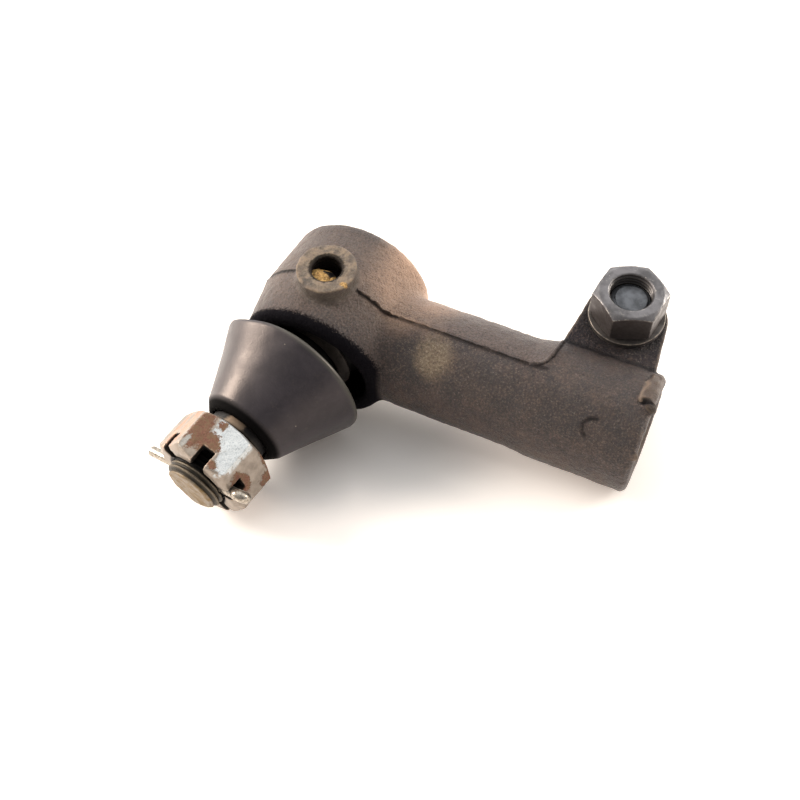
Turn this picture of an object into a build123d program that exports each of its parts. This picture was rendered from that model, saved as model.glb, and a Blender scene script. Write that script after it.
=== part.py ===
"""Clamp-type tie rod end with a ball stud, in millimetres.

The origin is the mouth of the rod bore. +X points out of that bore, along the shank. +Z is the clamp
bolt's axis, towards its nut, and the grease boss points the same way. The ball stud hangs towards -Y
and leans away from the shank.
"""

import os
from math import cos, radians, sin, sqrt, tan

from build123d import *

os.makedirs("parts", exist_ok=True)

# Ball stud, with distances measured from the ball centre along the stud
BALL_X = -98.0
BALL_R = 15.0
STUD_TILT = 10.4
BALL_FLAT = 13.8
NECK_R = 9.2
NECK_END = 18.0
TAPER_START = 23.0
TAPER_R = 10.6
TAPER_RATIO = 8.0
THREAD_START = 48.0
THREAD_R = 8.9
STUD_END = 68.0
STUD_END_R = 7.3

# Castle nut and cotter pin
CASTLE_AF = 27.0
CASTLE_BASE = 49.5
CASTLE_HEIGHT = 14.8
CASTLE_SLOT_W = 4.3
CASTLE_SLOT_DEPTH = 5.5
CASTLE_CLOCK = 17.4
CASTLE_MOUTH = 1.0
COTTER_R = 1.6
COTTER_HOLE_R = 1.9
COTTER_AT = 62.7
COTTER_EYE_AT = 16.2
COTTER_EYE_R = 1.5
COTTER_TURN = 26.0
COTTER_LEG_END = 21.7
COTTER_SLIT = 0.3
COTTER_SLIT_END = 9.0

# Ball socket, with heights measured from the ball centre along +Y
HEAD_R = 24.4
FRONT_DRAFT = 7.0
BACK_DRAFT = 6.0
HEAD_FRONT = 16.5
HEAD_BACK = 22.8
HEAD_FRONT_ROUND = 2.4
HEAD_BACK_ROUND = 4.7
MOUTH_R = 17.6
MOUTH_CHAMFER = 0.8
SHOULDER_Y = -4.5
SEAT_BORE_R = 19.2
RIM_R = 15.5
COVER_TOP_Y = 20.0
COVER_THICKNESS = 2.2
COVER_DISH = 0.8
BALL_GAP = 0.06
SEAT_GAP = 0.05
SPLIT_HALF_GAP = 0.15
REAR_SEAT_TOP = 14.8
SPRING_HOLE_R = 7.0
SPRING_R = 15.5
SPRING_THICKNESS = 0.9

# Dust washer and boot on the stud
DOME_IN_R = 16.9
DOME_OUT_R = 17.9
DOME_POLAR_FROM = 39.5
DOME_POLAR_TO = 50.9
BOOT_MOUTH = 20.4
BOOT_END = 46.2
BOOT_MOUTH_R = 23.7
BOOT_MOUTH_IN_R = 19.4
BOOT_END_R = 12.45
BOOT_HOLE_R = 9.8
BOOT_THROAT_R = 11.4
BOOT_FLOOR = 3.6
BOOT_ROUND = 1.0
BOOT_END_ROUND = 1.0

# Grease boss
BOSS_R = 8.7
BOSS_TOP = 27.9
BOSS_FOOT_R = 8.9
BOSS_SKIRT_R = 10.2
BOSS_SKIRT_DROP = 2.6
GREASE_R = 4.3
GREASE_FLOOR = 20.4
GREASE_WAY_R = 2.0
GREASE_CHAMFER = 0.7

# Shank, rod bore and split clamp
SHANK_R = 16.35
SHANK_ROUND = 4.0
BARREL_R = 17.4
BARREL_SHIFT = 0.6
BARREL_START = -30.5
BARREL_BLEND = 6.0
END_CHAMFER = 1.0
ROD_R = 10.2
ROD_DEPTH = 62.0
ROD_TIP_R = 1.0
ROD_CHAMFER = 0.6
SLIT_W = 3.2
SLIT_START = -38.0
LUG_HALF = 11.2
LUG_END_R = 11.9
LUG_ROOT_HALF_W = 15.2
BOLT_X = -17.0
BOLT_Y = 29.3

# Clamp bolt, nut and washers
BOLT_R = 6.0
BOLT_HOLE_R = 6.5
BOLT_THREAD_R = 5.9
BOLT_THREAD_START = -4.0
BOLT_TIP_Z = 20.0
BOLT_TIP_R = 4.9
BOLT_HEAD_H = 7.5
CLAMP_AF = 19.05
CLAMP_NUT_H = 10.3
CLAMP_NUT_CLOCK = 21.5
CLAMP_NUT_CHAMFER = 0.7
CLAMP_WASHER_R = 11.1
CLAMP_WASHER_HOLE_R = 6.4
CLAMP_WASHER_T = 1.6
THREAD_GAP = 0.05

BALL = Vector(BALL_X, 0, 0)
TILT = radians(STUD_TILT)
STUD_DIR = Vector(-sin(TILT), -cos(TILT), 0)
STUD_SIDE = Vector(cos(TILT), -sin(TILT), 0)
UP = Vector(0, 0, 1)

# In these planes local X is a radius and local Y runs along the axis.
HEAD_PLANE = Plane(origin=BALL, x_dir=(1, 0, 0), z_dir=UP)
HEAD_AXIS = Axis(BALL, (0, 1, 0))
BOSS_PLANE = Plane(origin=BALL, x_dir=(1, 0, 0), z_dir=(0, -1, 0))
BOSS_AXIS = Axis(BALL, UP)
STUD_PLANE = Plane(origin=BALL, x_dir=-STUD_SIDE, z_dir=UP)
STUD_AXIS = Axis(BALL, STUD_DIR)
COTTER_DIR = STUD_SIDE * cos(radians(CASTLE_CLOCK)) + UP * sin(radians(CASTLE_CLOCK))


def across_stud(distance):
    """The plane square to the stud at this distance, its local X along the cotter pin."""
    return Plane(origin=BALL + STUD_DIR * distance, x_dir=COTTER_DIR, z_dir=STUD_DIR)


def outline(plane, *points):
    """A closed straight-sided profile in this plane."""
    with BuildSketch(plane) as profile:
        Polygon(*points, align=None)
    return profile.sketch


def hex_with_chamfers(plane, across_flats, height, rotation, ends):
    """A hexagon prism on this plane, its corners turned down at the named ends."""
    corner = across_flats / sqrt(3)
    land = across_flats / 2 * 0.94
    drop = (corner - land) * tan(radians(30))
    low = drop if "start" in ends else 0
    high = drop if "end" in ends else 0
    side = Plane(origin=plane.origin, x_dir=plane.x_dir, z_dir=-plane.y_dir)
    axis = Axis(plane.origin, plane.z_dir)
    stock = [
        (0, 0),
        (land if low else corner, 0),
        (corner, low),
        (corner, height - high),
        (land if high else corner, height),
        (0, height),
    ]
    with BuildPart() as prism:
        with BuildSketch(plane):
            RegularPolygon(across_flats / 2, 6, major_radius=False, rotation=rotation)
        extrude(amount=height)
        revolve(outline(side, *dict.fromkeys(stock)), axis=axis, mode=Mode.INTERSECT)
    return prism.part


def finish(part, name):
    """Labels a piece and writes it."""
    part.label = name
    export_step(part, f"parts/{name}.step")
    return part


# Housing: socket head, grease boss, shank and split clamp in one forging
front_r = HEAD_R - HEAD_FRONT * tan(radians(FRONT_DRAFT))
back_r = HEAD_R - HEAD_BACK * tan(radians(BACK_DRAFT))

with BuildPart() as housing:
    with BuildSketch(HEAD_PLANE) as head_profile:
        Polygon(
            (0, -HEAD_FRONT),
            (front_r, -HEAD_FRONT),
            (HEAD_R, 0),
            (back_r, HEAD_BACK),
            (0, HEAD_BACK),
            align=None,
        )
        corners = head_profile.vertices().filter_by(lambda v: v.X > back_r / 2)
        fillet(corners.sort_by(Axis.Y)[-1], HEAD_BACK_ROUND)
        corners = head_profile.vertices().filter_by(lambda v: v.X > back_r / 2)
        fillet(corners.sort_by(Axis.Y)[0], HEAD_FRONT_ROUND)
    revolve(axis=HEAD_AXIS)

    with BuildSketch(Plane.YZ.offset(BALL_X)):
        Circle(SHANK_R)
    extrude(amount=BARREL_START - BARREL_BLEND - BALL_X)
    root = housing.edges().filter_by(lambda e: BALL_X + 10 < e.center().X < BALL_X + 30)
    fillet(root, SHANK_ROUND)

    with BuildSketch(Plane.YZ.offset(BARREL_START - BARREL_BLEND)):
        Circle(SHANK_R)
    with BuildSketch(Plane.YZ.offset(BARREL_START)):
        with Locations((BARREL_SHIFT, 0)):
            Circle(BARREL_R)
    loft()
    with BuildSketch(Plane.YZ.offset(BARREL_START)):
        with Locations((BARREL_SHIFT, 0)):
            Circle(BARREL_R)
    extrude(amount=-BARREL_START)
    chamfer(housing.faces().sort_by(Axis.X)[-1].edges(), END_CHAMFER)

    with BuildSketch(Plane.XY):
        with Locations((BOLT_X, BOLT_Y)):
            Circle(LUG_END_R)
        with Locations((BOLT_X, 0)):
            Rectangle(2 * LUG_ROOT_HALF_W, 1)
        make_hull()
    extrude(amount=LUG_HALF, both=True)

    boss = outline(
        BOSS_PLANE,
        (0, HEAD_R / 2),
        (BOSS_SKIRT_R, HEAD_R / 2),
        (BOSS_SKIRT_R, HEAD_R - BOSS_SKIRT_DROP),
        (BOSS_FOOT_R, HEAD_R),
        (BOSS_R, BOSS_TOP),
        (0, BOSS_TOP),
    )
    revolve(boss, axis=BOSS_AXIS)

    socket = outline(
        HEAD_PLANE,
        (0, -HEAD_FRONT - 1),
        (MOUTH_R + MOUTH_CHAMFER + 1, -HEAD_FRONT - 1),
        (MOUTH_R, -HEAD_FRONT + MOUTH_CHAMFER),
        (MOUTH_R, SHOULDER_Y),
        (SEAT_BORE_R, SHOULDER_Y),
        (SEAT_BORE_R, COVER_TOP_Y),
        (RIM_R, COVER_TOP_Y),
        (RIM_R, HEAD_BACK + 1),
        (0, HEAD_BACK + 1),
    )
    revolve(socket, axis=HEAD_AXIS, mode=Mode.SUBTRACT)

    rod_bore = outline(
        Plane.XY,
        (1, 0),
        (1, ROD_R + ROD_CHAMFER + 1),
        (-ROD_CHAMFER, ROD_R),
        (-ROD_DEPTH, ROD_R),
        (-ROD_DEPTH - (ROD_R - ROD_TIP_R) * tan(radians(31)), ROD_TIP_R),
        (-ROD_DEPTH - (ROD_R - ROD_TIP_R) * tan(radians(31)), 0),
    )
    revolve(rod_bore, axis=Axis.X, mode=Mode.SUBTRACT)

    grease_way = outline(
        BOSS_PLANE,
        (0, HEAD_R / 2),
        (GREASE_WAY_R, HEAD_R / 2),
        (GREASE_WAY_R, GREASE_FLOOR),
        (GREASE_R, GREASE_FLOOR),
        (GREASE_R, BOSS_TOP - GREASE_CHAMFER),
        (GREASE_R + GREASE_CHAMFER + 1, BOSS_TOP + 1),
        (0, BOSS_TOP + 1),
    )
    revolve(grease_way, axis=BOSS_AXIS, mode=Mode.SUBTRACT)

    slit_end = BOLT_Y + LUG_END_R + 1
    with BuildSketch(Plane.XY):
        with Locations(((SLIT_START + 1) / 2, ROD_R / 2 + slit_end / 2)):
            Rectangle(1 - SLIT_START, slit_end - ROD_R / 2)
    extrude(amount=SLIT_W / 2, both=True, mode=Mode.SUBTRACT)

    with BuildSketch(Plane.XY):
        with Locations((BOLT_X, BOLT_Y)):
            Circle(BOLT_HOLE_R)
    extrude(amount=LUG_HALF + 1, both=True, mode=Mode.SUBTRACT)
finish(housing.part, "housing")

# Ball stud: ball, neck, taper and threaded end, with the cotter hole
taper_end_r = TAPER_R - (THREAD_START - TAPER_START) / TAPER_RATIO / 2
tip_chamfer = THREAD_R - STUD_END_R
with BuildPart() as ball_stud:
    with Locations(BALL):
        Sphere(BALL_R)
    stem = outline(
        STUD_PLANE,
        (0, 0),
        (NECK_R, 0),
        (NECK_R, NECK_END),
        (TAPER_R, TAPER_START),
        (taper_end_r, THREAD_START),
        (THREAD_R, THREAD_START),
        (THREAD_R, STUD_END - tip_chamfer),
        (STUD_END_R, STUD_END),
        (0, STUD_END),
    )
    revolve(stem, axis=STUD_AXIS)
    with BuildSketch(across_stud(-BALL_FLAT)):
        Circle(BALL_R)
    extrude(amount=-BALL_R, mode=Mode.SUBTRACT)
    with BuildSketch(Plane(origin=BALL + STUD_DIR * COTTER_AT, z_dir=COTTER_DIR)):
        Circle(COTTER_HOLE_R)
    extrude(amount=2 * THREAD_R, both=True, mode=Mode.SUBTRACT)
finish(ball_stud.part, "ball_stud")

# Front seat: the ring between ball and shoulder that keeps the ball from the mouth
with BuildPart() as front_seat:
    front_ring = outline(
        HEAD_PLANE,
        (BALL_R / 2, SHOULDER_Y + SEAT_GAP),
        (SEAT_BORE_R - SEAT_GAP, SHOULDER_Y + SEAT_GAP),
        (SEAT_BORE_R - SEAT_GAP, -SPLIT_HALF_GAP),
        (BALL_R / 2, -SPLIT_HALF_GAP),
    )
    revolve(front_ring, axis=HEAD_AXIS)
    with Locations(BALL):
        Sphere(BALL_R + BALL_GAP, mode=Mode.SUBTRACT)
finish(front_seat.part, "front_seat")

# Rear seat: the cup that the springs push on the ball
with BuildPart() as rear_seat:
    rear_cup = outline(
        HEAD_PLANE,
        (0, SPLIT_HALF_GAP),
        (SEAT_BORE_R - SEAT_GAP, SPLIT_HALF_GAP),
        (SEAT_BORE_R - SEAT_GAP, REAR_SEAT_TOP),
        (SPRING_HOLE_R / 2, REAR_SEAT_TOP),
        (SPRING_HOLE_R / 2, HEAD_BACK),
        (0, HEAD_BACK),
    )
    revolve(rear_cup, axis=HEAD_AXIS)
    with Locations(BALL):
        Sphere(BALL_R + BALL_GAP, mode=Mode.SUBTRACT)
    with BuildSketch(Plane(origin=BALL, z_dir=(0, 1, 0))):
        Circle(SPRING_HOLE_R / 2)
    extrude(amount=HEAD_BACK + 1, mode=Mode.SUBTRACT)
finish(rear_seat.part, "rear_seat")

# Two disc springs, stacked rim to rim, between the rear seat and the cover
cover_low = COVER_TOP_Y - COVER_THICKNESS
spring_room = cover_low - REAR_SEAT_TOP
cone = spring_room / 2 - SPRING_THICKNESS
for number, (start, sign) in enumerate(((REAR_SEAT_TOP, 1), (cover_low, -1)), start=1):
    with BuildPart() as disc_spring:
        disc = outline(
            HEAD_PLANE,
            (SPRING_HOLE_R, start),
            (SPRING_R, start + sign * cone),
            (SPRING_R, start + sign * (cone + SPRING_THICKNESS)),
            (SPRING_HOLE_R, start + sign * SPRING_THICKNESS),
        )
        revolve(disc, axis=HEAD_AXIS)
    finish(disc_spring.part, f"disc_spring_{number}")

# Cover plate under the rolled rim, slightly dished
with BuildPart() as cover_plate:
    plate = outline(
        HEAD_PLANE,
        (0, cover_low),
        (SEAT_BORE_R - SEAT_GAP, cover_low),
        (SEAT_BORE_R - SEAT_GAP, COVER_TOP_Y),
        (RIM_R - 1, COVER_TOP_Y),
        (RIM_R - 3, COVER_TOP_Y - COVER_DISH),
        (0, COVER_TOP_Y - COVER_DISH),
    )
    revolve(plate, axis=HEAD_AXIS)
finish(cover_plate.part, "cover_plate")

# Dust washer: a domed ring round the stud's neck, concentric with the ball
with BuildPart() as dust_washer:
    polar = [radians(DOME_POLAR_FROM), radians(DOME_POLAR_TO)]
    middle = sum(polar) / 2
    with BuildSketch(STUD_PLANE):
        with BuildLine():
            ends = [
                [(r * sin(a), r * cos(a)) for a in (polar[0], middle, polar[1])]
                for r in (DOME_IN_R, DOME_OUT_R)
            ]
            ThreePointArc(*ends[0])
            ThreePointArc(*ends[1])
            Line(ends[0][0], ends[1][0])
            Line(ends[0][2], ends[1][2])
        make_face()
    revolve(axis=STUD_AXIS)
finish(dust_washer.part, "dust_washer")

# Dust boot: a stiff rubber cone, open towards the head
with BuildPart() as dust_boot:
    with BuildSketch(STUD_PLANE) as boot_profile:
        Polygon(
            (BOOT_MOUTH_IN_R, BOOT_MOUTH),
            (BOOT_MOUTH_R, BOOT_MOUTH),
            (BOOT_END_R, BOOT_END),
            (BOOT_HOLE_R, BOOT_END),
            (BOOT_HOLE_R, BOOT_END - BOOT_FLOOR),
            (BOOT_THROAT_R, BOOT_END - BOOT_FLOOR),
            align=None,
        )
    revolve(axis=STUD_AXIS)
    rims = dust_boot.edges().filter_by(GeomType.CIRCLE).sort_by(lambda e: e.radius)
    fillet(rims[-1], BOOT_ROUND)
    small_end = dust_boot.edges().filter_by(lambda e: abs(e.length / 6.2832 - BOOT_END_R) < 0.1)
    fillet(small_end, BOOT_END_ROUND)
finish(dust_boot.part, "dust_boot")

# Castle nut
castle_hex = hex_with_chamfers(
    across_stud(CASTLE_BASE), CASTLE_AF, CASTLE_HEIGHT, rotation=30, ends=("start", "end")
)
castle_bore_r = THREAD_R + THREAD_GAP
castle_top = CASTLE_BASE + CASTLE_HEIGHT
with BuildPart() as castle_nut:
    add(castle_hex)
    nut_bore = outline(
        STUD_PLANE,
        (0, CASTLE_BASE - 1),
        (castle_bore_r + CASTLE_MOUTH + 1, CASTLE_BASE - 1),
        (castle_bore_r, CASTLE_BASE + CASTLE_MOUTH),
        (castle_bore_r, castle_top - CASTLE_MOUTH),
        (castle_bore_r + CASTLE_MOUTH + 1, castle_top + 1),
        (0, castle_top + 1),
    )
    revolve(nut_bore, axis=STUD_AXIS, mode=Mode.SUBTRACT)
    with BuildSketch(across_stud(castle_top)):
        for turn in (0, 60, 120):
            Rectangle(1.3 * CASTLE_AF, CASTLE_SLOT_W, rotation=turn)
    extrude(amount=-CASTLE_SLOT_DEPTH, mode=Mode.SUBTRACT)
finish(castle_nut.part, "castle_nut")

# Cotter pin: two half-round legs joined by an eye, whose plane is turned about the pin
cotter_centre = BALL + STUD_DIR * COTTER_AT
eye_centre = cotter_centre + COTTER_DIR * COTTER_EYE_AT
eye_normal = STUD_DIR * cos(radians(COTTER_TURN)) + COTTER_DIR.cross(STUD_DIR) * sin(radians(COTTER_TURN))
with BuildPart() as cotter_pin:
    with BuildSketch(Plane(origin=cotter_centre - COTTER_DIR * COTTER_LEG_END, z_dir=COTTER_DIR)):
        Circle(COTTER_R)
    extrude(amount=COTTER_LEG_END + COTTER_EYE_AT - COTTER_EYE_R)
    slit_length = COTTER_LEG_END + COTTER_SLIT_END + 1
    slit_centre = cotter_centre - COTTER_DIR * (slit_length / 2 - COTTER_SLIT_END)
    with Locations(Plane(origin=slit_centre, x_dir=COTTER_DIR, z_dir=eye_normal)):
        Box(slit_length, COTTER_SLIT, 3 * COTTER_R, mode=Mode.SUBTRACT)
    with BuildSketch(Plane(origin=eye_centre, x_dir=COTTER_DIR, z_dir=COTTER_DIR.cross(eye_normal))):
        with Locations((COTTER_EYE_R, 0)):
            Circle(COTTER_R)
            Rectangle(COTTER_R, 2 * COTTER_R, align=(Align.MAX, Align.CENTER), mode=Mode.SUBTRACT)
    revolve(axis=Axis(eye_centre, eye_normal))
finish(cotter_pin.part, "cotter_pin")

# Clamp bolt, its nut and two plain washers
nut_seat_z = LUG_HALF + CLAMP_WASHER_T
bolt_axis = Axis((BOLT_X, BOLT_Y, 0), UP)
bolt_plane = Plane(origin=(BOLT_X, BOLT_Y, 0), x_dir=(1, 0, 0), z_dir=(0, -1, 0))
bolt_head = hex_with_chamfers(
    Plane(origin=(BOLT_X, BOLT_Y, -nut_seat_z - BOLT_HEAD_H), x_dir=(1, 0, 0), z_dir=UP),
    CLAMP_AF,
    BOLT_HEAD_H,
    rotation=CLAMP_NUT_CLOCK / 2,
    ends=("start",),
)
with BuildPart() as clamp_bolt:
    add(bolt_head)
    bolt_stem = outline(
        bolt_plane,
        (0, -nut_seat_z),
        (BOLT_R, -nut_seat_z),
        (BOLT_R, BOLT_THREAD_START),
        (BOLT_THREAD_R, BOLT_THREAD_START),
        (BOLT_THREAD_R, BOLT_TIP_Z - BOLT_THREAD_R + BOLT_TIP_R),
        (BOLT_TIP_R, BOLT_TIP_Z),
        (0, BOLT_TIP_Z),
    )
    revolve(bolt_stem, axis=bolt_axis)
finish(clamp_bolt.part, "clamp_bolt")

nut_hex = hex_with_chamfers(
    Plane(origin=(BOLT_X, BOLT_Y, nut_seat_z), x_dir=(1, 0, 0), z_dir=UP),
    CLAMP_AF,
    CLAMP_NUT_H,
    rotation=CLAMP_NUT_CLOCK,
    ends=("start", "end"),
)
nut_bore_r = BOLT_THREAD_R + THREAD_GAP
nut_top = nut_seat_z + CLAMP_NUT_H
with BuildPart() as clamp_nut:
    add(nut_hex)
    hole = outline(
        bolt_plane,
        (0, nut_seat_z - 1),
        (nut_bore_r + CLAMP_NUT_CHAMFER + 1, nut_seat_z - 1),
        (nut_bore_r, nut_seat_z + CLAMP_NUT_CHAMFER),
        (nut_bore_r, nut_top - CLAMP_NUT_CHAMFER),
        (nut_bore_r + CLAMP_NUT_CHAMFER + 1, nut_top + 1),
        (0, nut_top + 1),
    )
    revolve(hole, axis=bolt_axis, mode=Mode.SUBTRACT)
finish(clamp_nut.part, "clamp_nut")

for name, low in (("nut_washer", LUG_HALF), ("bolt_washer", -nut_seat_z)):
    with BuildPart() as washer:
        with BuildSketch(Plane(origin=(BOLT_X, BOLT_Y, low), z_dir=UP)):
            Circle(CLAMP_WASHER_R)
            Circle(CLAMP_WASHER_HOLE_R, mode=Mode.SUBTRACT)
        extrude(amount=CLAMP_WASHER_T)
    finish(washer.part, name)
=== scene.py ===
"""Looks for the clamp-type tie rod end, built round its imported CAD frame.

Lengths in this file are millimetres in the row's frame. Only the camera and the lamps are placed in metres.
"""

from math import cos, pi, radians, sin, sqrt

import bmesh
import bpy
import numpy as np
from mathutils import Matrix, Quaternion, Vector


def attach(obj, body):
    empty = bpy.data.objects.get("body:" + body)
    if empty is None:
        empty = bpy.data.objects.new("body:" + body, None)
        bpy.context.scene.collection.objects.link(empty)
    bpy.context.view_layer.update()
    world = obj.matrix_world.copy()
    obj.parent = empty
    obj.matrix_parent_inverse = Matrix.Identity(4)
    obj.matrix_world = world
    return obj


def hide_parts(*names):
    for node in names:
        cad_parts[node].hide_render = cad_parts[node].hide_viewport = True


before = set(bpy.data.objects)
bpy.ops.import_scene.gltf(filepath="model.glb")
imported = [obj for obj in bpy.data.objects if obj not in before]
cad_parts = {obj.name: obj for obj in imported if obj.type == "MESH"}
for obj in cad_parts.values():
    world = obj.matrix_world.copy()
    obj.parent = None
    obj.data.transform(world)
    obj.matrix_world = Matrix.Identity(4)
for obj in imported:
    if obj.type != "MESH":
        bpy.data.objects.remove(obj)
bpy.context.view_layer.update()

MM = 0.001

# The ball stud: its axis, the cotter pin's direction, and the direction across both
BALL_X = -98.0
BALL = np.array([BALL_X, 0.0, 0.0])
LEAN = radians(10.4)
STUD = np.array([-sin(LEAN), -cos(LEAN), 0.0])
SIDE = np.array([cos(LEAN), -sin(LEAN), 0.0])
UP = np.array([0.0, 0.0, 1.0])
CLOCK = radians(17.4)
COTTER = cos(CLOCK) * SIDE + sin(CLOCK) * UP
ACROSS = np.cross(STUD, COTTER)
STUD_THREAD_START = 47.9
STUD_TIP = 67.6
STUD_THREAD_PITCH = 1.5
STUD_THREAD_DEPTH = 0.6

# The forging: head, grease boss, shank, barrel and clamp ears
HEAD_R = 24.35
HEAD_FRONT = -15.8
HEAD_BACK = 22.3
GREASE_R = 4.7
BOSS_WALL_R = 9.4
SHANK_TOP = 16.4
BARREL_R = 17.4
BARREL_SHIFT = 0.6
BARREL_X = -30.0
ROD_BORE_R = 10.6
ROD_PITCH = 1.5
ROD_THREAD_DEPTH = 0.75
GREASE_PITCH = 0.95
GREASE_THREAD_DEPTH = 0.45
PAD_Z = 11.2
PAD_Y = 14.5

# The clamp bolt
BOLT_X = -17.0
BOLT_Y = 29.3
BOLT_FOOT = np.array([BOLT_X, BOLT_Y, 0.0])
BOLT_PITCH = 1.25
BOLT_THREAD_DEPTH = 0.55

# The boot, with distances measured from the ball's centre along the stud
BOOT_MOUTH = 20.4
BOOT_MOUTH_R = 23.35
BOOT_MOUTH_INSIDE_R = 19.4
BOOT_NECK = 43.1
BOOT_NECK_R = 13.6
BOOT_NECK_INSIDE_R = 11.7
BOOT_HOLE_R = 9.8

# The table, seen in the row's frame
TABLE_UP = np.array([-0.0966, 0.1951, 0.976])
TABLE_RIGHT = np.array([0.9059, 0.4214, -0.0413])
TABLE_DROP = 17.3
TABLE_SIZE = 6000.0
MIDDLE = np.array([-60.0, -10.0, 0.0])


# ---------------------------------------------------------------- numbers


def lattice(cell, seed):
    """A repeatable value from -1 to 1 for each whole-number cell."""
    n = cell[:, 0] * 73856093 ^ cell[:, 1] * 19349663 ^ cell[:, 2] * 83492791 ^ seed * 26544357
    n = (n ^ (n >> 13)) * 1274126177
    n = n ^ (n >> 16)
    return (n & 0xFFFF) / 32767.5 - 1.0


def noise(points, size, seed=0, octaves=1):
    """Smooth value noise with bumps of about this size."""
    total = np.zeros(len(points))
    gain = 1.0
    for octave in range(octaves):
        q = points / size * 2**octave + 17.3 * seed
        cell = np.floor(q).astype(np.int64)
        f = q - cell
        f = f * f * (3 - 2 * f)
        for corner in range(8):
            step = np.array([corner & 1, corner >> 1 & 1, corner >> 2 & 1])
            weight = np.prod(np.where(step, f, 1 - f), axis=1)
            total += gain * weight * lattice(cell + step, seed + octave)
        gain *= 0.5
    return total


def ease(value, low, high):
    """0 below low, 1 above high, smooth between; low may be the larger."""
    t = np.clip((value - low) / (high - low), 0, 1)
    return t * t * (3 - 2 * t)


def thread(along, turn, pitch, depth):
    """How far a V thread's surface lies below its crest."""
    phase = (along / pitch - turn / (2 * pi)) % 1.0
    flank = np.abs(phase * 2 - 1)
    return depth * (1 - ease(flank, 0.12, 0.88))


def around(points, origin, axis, zero):
    """Distance along an axis, radius from it and angle round it from the zero direction."""
    q = points - origin
    along = q @ axis
    flat = q - np.outer(along, axis)
    return along, np.linalg.norm(flat, axis=1), np.arctan2(flat @ np.cross(axis, zero), flat @ zero)


# ---------------------------------------------------------------- meshes


def new_object(name, mesh, body, slot, *nodes):
    """Adds a mesh, riding on a body and standing for the CAD nodes named."""
    obj = bpy.data.objects.new(name, mesh)
    bpy.context.scene.collection.objects.link(obj)
    if body:
        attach(obj, body)
        if nodes:
            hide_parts(*nodes)
    return obj


def read(mesh):
    """Vertex places in mm and vertex normals."""
    co = np.empty(len(mesh.vertices) * 3, np.float32)
    mesh.vertices.foreach_get("co", co)
    no = np.empty(len(mesh.vertices) * 3, np.float32)
    mesh.vertex_normals.foreach_get("vector", no)
    return co.reshape(-1, 3).astype(float) / MM, no.reshape(-1, 3).astype(float)


def write(mesh, points):
    """Moves the vertices to places in mm."""
    mesh.vertices.foreach_set("co", (points * MM).astype(np.float32).ravel())
    mesh.update()


def keep(mesh, name, value):
    """Stores one number for each vertex, for a material to read."""
    layer = mesh.attributes.new(name, "FLOAT", "POINT")
    layer.data.foreach_set("value", np.clip(value, -1, 1).astype(np.float32))


def mark_edges(mesh, reach):
    """Stores how convex each vertex is, from -1 to 1, for worn edges and darker hollows."""
    points, normals = read(mesh)
    pairs = np.empty(len(mesh.edges) * 2, np.int32)
    mesh.edges.foreach_get("vertices", pairs)
    a, b = pairs.reshape(-1, 2).T
    count = np.bincount(np.concatenate([a, b]), minlength=len(points)).clip(1)
    smooth = points.copy()
    for _ in range(4):
        total = np.zeros_like(smooth)
        np.add.at(total, a, smooth[b])
        np.add.at(total, b, smooth[a])
        smooth = total / count[:, None]
    value = np.einsum("ij,ij->i", points - smooth, normals) / reach
    for _ in range(2):
        total = np.zeros(len(points))
        np.add.at(total, a, value[b])
        np.add.at(total, b, value[a])
        value = (value + total / count) / 2
    keep(mesh, "convex", value)


def skin(node, voxel, rounds, body, slot, material, shape=None, reach=0.12):
    """A fine rounded copy of a CAD node, with its surface worked by shape(points, normals)."""
    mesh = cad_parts[node].data.copy()
    bm = bmesh.new()
    bm.from_mesh(mesh)
    bmesh.ops.remove_doubles(bm, verts=bm.verts, dist=1e-6)
    bm.to_mesh(mesh)
    bm.free()
    rough = bpy.data.objects.new("rough", mesh)
    bpy.context.scene.collection.objects.link(rough)
    remesh = rough.modifiers.new("remesh", "REMESH")
    remesh.mode = "VOXEL"
    remesh.voxel_size = voxel * MM
    remesh.use_smooth_shade = True
    relax = rough.modifiers.new("relax", "SMOOTH")
    relax.factor = 0.5
    relax.iterations = rounds
    bpy.context.view_layer.update()
    graph = bpy.context.evaluated_depsgraph_get()
    fine = bpy.data.meshes.new_from_object(rough.evaluated_get(graph))
    bpy.data.objects.remove(rough)
    if shape:
        points, normals = read(fine)
        points, marks = shape(points, normals)
        write(fine, points)
        for name, value in marks.items():
            keep(fine, name, value)
    mark_edges(fine, reach)
    fine.materials.clear()
    fine.materials.append(material)
    fine.polygons.foreach_set("use_smooth", [True] * len(fine.polygons))
    return new_object(f"{node}_skin", fine, body, slot, node)


def grid_mesh(name, rings, closed_rows, closed_columns, material):
    """A mesh from a rows x columns array of points in mm."""
    rows, columns = rings.shape[:2]
    faces = []
    for r in range(rows if closed_rows else rows - 1):
        for c in range(columns if closed_columns else columns - 1):
            r2 = (r + 1) % rows
            c2 = (c + 1) % columns
            faces.append((r * columns + c, r * columns + c2, r2 * columns + c2, r2 * columns + c))
    mesh = bpy.data.meshes.new(name)
    mesh.from_pydata((rings.reshape(-1, 3) * MM).tolist(), [], faces)
    bm = bmesh.new()
    bm.from_mesh(mesh)
    bmesh.ops.recalc_face_normals(bm, faces=bm.faces)
    bm.to_mesh(mesh)
    bm.free()
    mesh.materials.append(material)
    mesh.polygons.foreach_set("use_smooth", [True] * len(mesh.polygons))
    return mesh


# ---------------------------------------------------------------- materials


def linear(red, green, blue):
    """Linear colour from 0-255 display values."""
    out = []
    for value in (red, green, blue):
        c = value / 255
        out.append(c / 12.92 if c < 0.04045 else ((c + 0.055) / 1.055) ** 2.4)
    return (*out, 1.0)


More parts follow.
